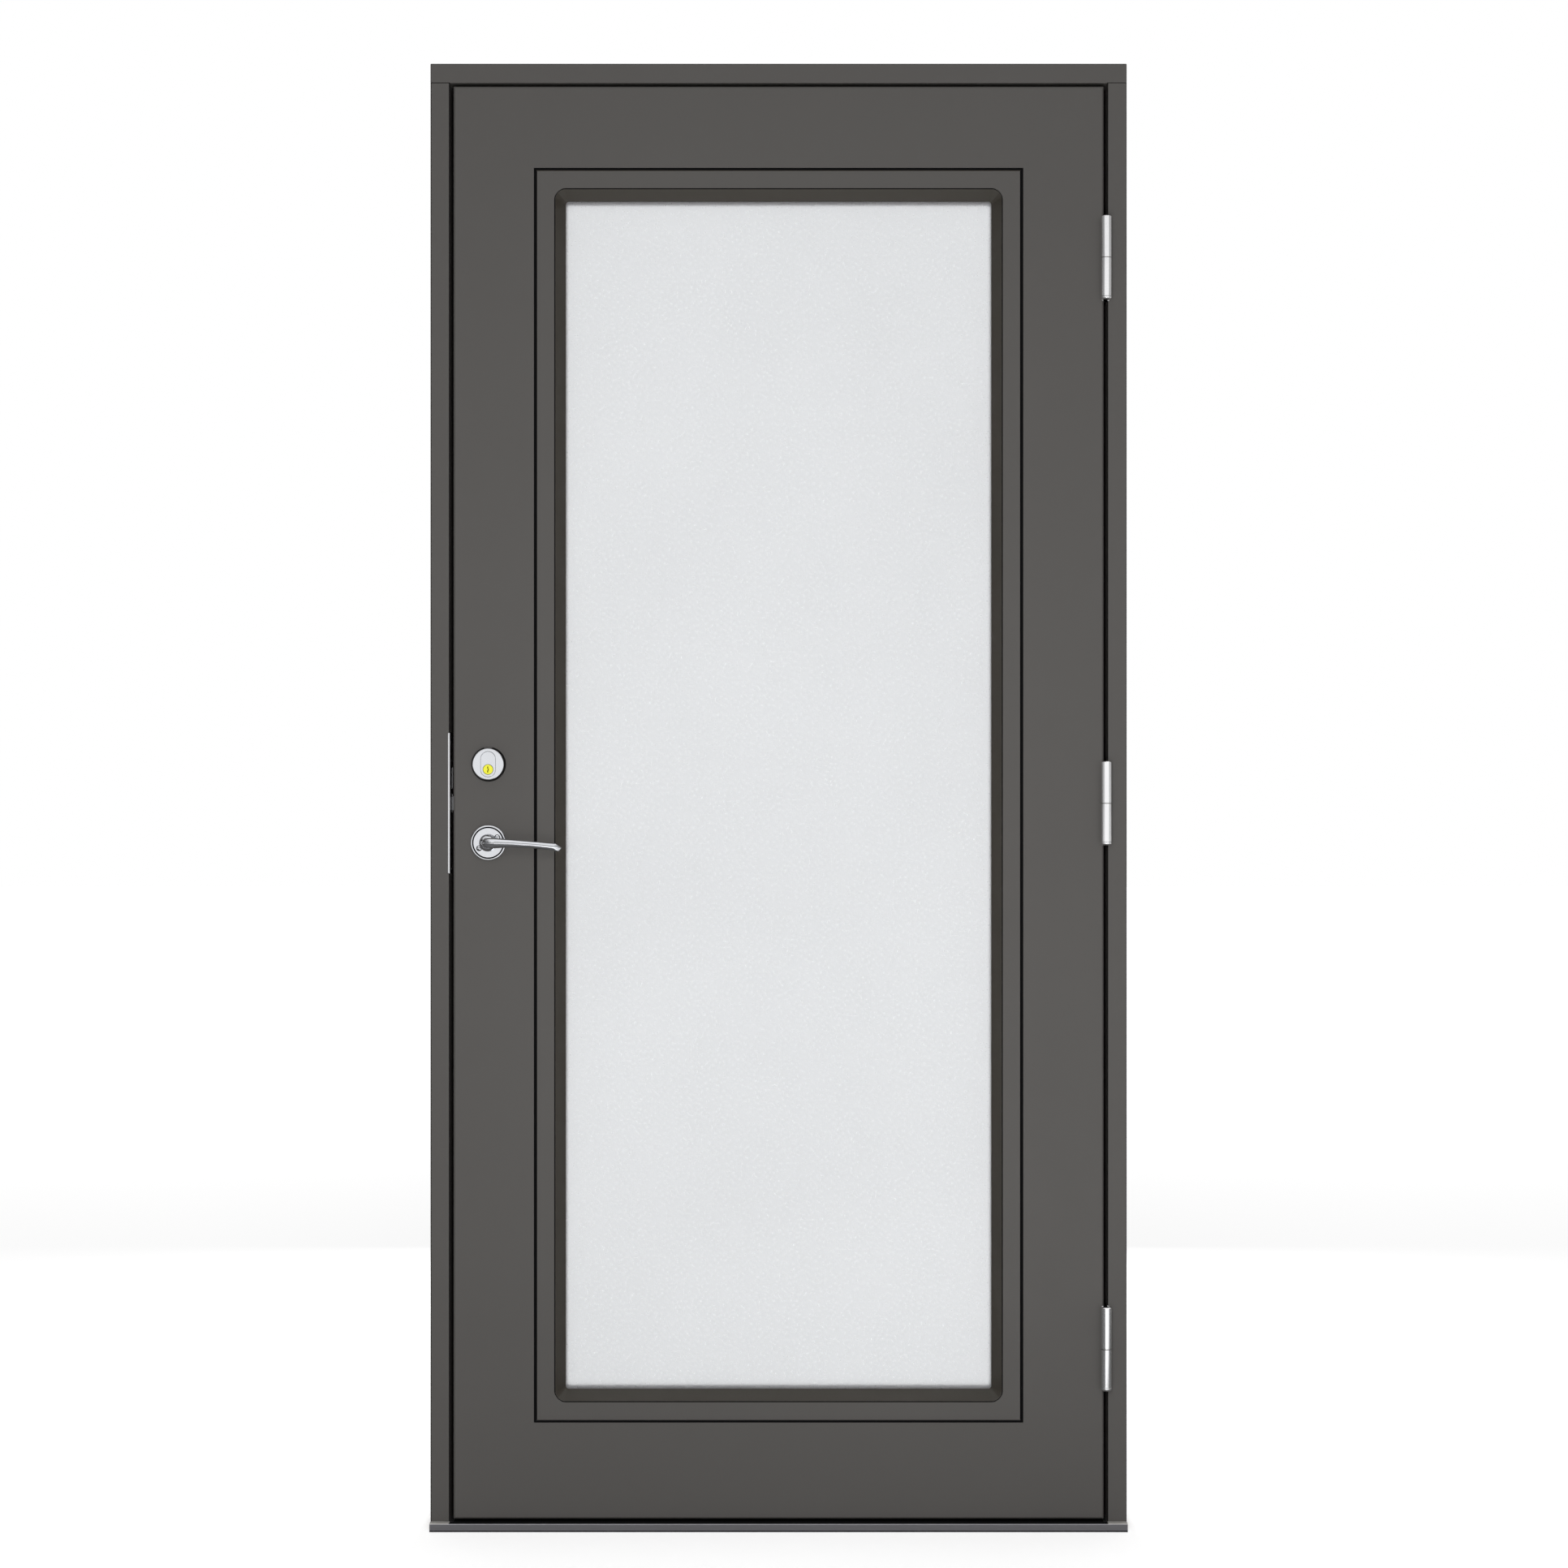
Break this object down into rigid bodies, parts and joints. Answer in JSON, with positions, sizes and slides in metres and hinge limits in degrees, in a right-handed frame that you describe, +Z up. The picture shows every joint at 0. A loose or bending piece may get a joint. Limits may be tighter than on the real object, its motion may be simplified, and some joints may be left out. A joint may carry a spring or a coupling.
{
  "type": "exterior door",
  "caption": "Outward-opening exterior door in its frame: a dark grey leaf with a tall frosted pane, hinges, lock and lever handles.",
  "frame": {"origin": "on the floor, in the middle of the frame's width and depth, on the underside of the threshold", "axes": "+Z up, +X to the right as seen from outside, +Y from outside to inside"},
  "size_m": [0.99, 0.1732, 2.085],
  "materials": {
    "frame_paint": "satin grey paint on timber",
    "leaf_paint": "satin grey paint",
    "glazing_paint": "satin grey paint",
    "timber": "planed softwood",
    "hardwood": "oiled hardwood",
    "foam": "rigid foam",
    "threshold_metal": "anodised",
    "black_plastic": "matte",
    "rubber": "matte",
    "glass": "frosted outside, clear inside",
    "spacer_metal": "matte",
    "hinge_steel": "satin",
    "bearing_brass": "satin",
    "plate_steel": "satin",
    "sleeve_steel": "zinc plated",
    "lock_steel": "satin",
    "satin_nickel": "satin",
    "plug_brass": "polished"
  },
  "bodies": {
    "frame": {"frame_head": "frame_paint", "frame_jamb_lock_side": "frame_paint", "frame_jamb_hinge_side": "frame_paint", "frame_fixing_sleeves": "sleeve_steel", "frame_weather_seal": "rubber", "threshold_core": "hardwood", "threshold_profile": "threshold_metal", "threshold_wear_strip": "black_plastic", "threshold_inner_board": "hardwood", "strike_plate": "plate_steel", "strike_box": "black_plastic", "hinge_frame_half_lower": "hinge_steel", "hinge_frame_half_middle": "hinge_steel", "hinge_frame_half_upper": "hinge_steel", "hinge_pins": "hinge_steel", "hinge_washers": "bearing_brass", "hinge_end_caps": "hinge_steel"},
    "leaf": {"leaf_outer_skin": "leaf_paint", "leaf_inner_skin": "leaf_paint", "leaf_lock_stile": "timber", "leaf_hinge_stile": "timber", "leaf_top_rail": "timber", "leaf_bottom_rail": "timber", "leaf_insulation": "foam", "leaf_bottom_sweep": "rubber", "glazing_liner": "timber", "outer_glazing_frame": "glazing_paint", "inner_glazing_frame": "glazing_paint", "outer_gasket": "rubber", "inner_gasket": "rubber", "outer_pane": "glass", "middle_pane": "glass", "inner_pane": "glass", "outer_spacer": "spacer_metal", "inner_spacer": "spacer_metal", "setting_blocks": "black_plastic", "hinge_leaf_half_lower": "hinge_steel", "hinge_leaf_half_middle": "hinge_steel", "hinge_leaf_half_upper": "hinge_steel", "lock_case": "lock_steel", "lock_forend": "plate_steel", "cylinder_ring": "satin_nickel", "cylinder_body": "satin_nickel", "outer_rose": "satin_nickel", "inner_rose": "satin_nickel", "thumbturn_rose": "satin_nickel"},
    "handle": {"outer_lever": "satin_nickel", "inner_lever": "satin_nickel", "spindle": "lock_steel", "follower": "lock_steel"},
    "latch": {"latch_bolt": "lock_steel"},
    "bolt": {"deadbolt": "lock_steel"},
    "thumbturn": {"thumbturn": "satin_nickel"},
    "plug": {"cylinder_plug": "plug_brass"}
  },
  "joints": [
    {"name": "leaf_swing", "type": "hinge", "parent": "frame", "child": "leaf", "pos_m": [0.46475, -0.063, 0], "axis": [0, 0, 1], "range_deg": [0, 170]},
    {"name": "handle_turn", "type": "hinge", "parent": "leaf", "child": "handle", "pos_m": [-0.412, -0.0235, 0.977], "axis": [0, 1, 0], "range_deg": [0, 40], "stiffness_Nm_per_rad": 1.2, "springref_deg": -34.38},
    {"name": "latch_slide", "type": "slide", "parent": "leaf", "child": "latch", "axis": [1, 0, 0], "range_m": [0, 0.012]},
    {"name": "thumbturn_turn", "type": "hinge", "parent": "leaf", "child": "thumbturn", "pos_m": [-0.412, -0.0235, 1.081], "axis": [0, 1, 0], "range_deg": [0, 90]},
    {"name": "deadbolt_slide", "type": "slide", "parent": "leaf", "child": "bolt", "axis": [-1, 0, 0], "range_m": [0, 0.02]},
    {"name": "plug_turn", "type": "hinge", "parent": "leaf", "child": "plug", "pos_m": [-0.412, -0.0235, 1.081], "axis": [0, 1, 0], "range_deg": [-90, 90]}
  ],
  "couplings": [
    {"joint": "latch_slide", "follows": "handle_turn", "m_per_rad": 0.01718},
    {"joint": "deadbolt_slide", "follows": "thumbturn_turn", "m_per_rad": 0.01273}
  ]
}
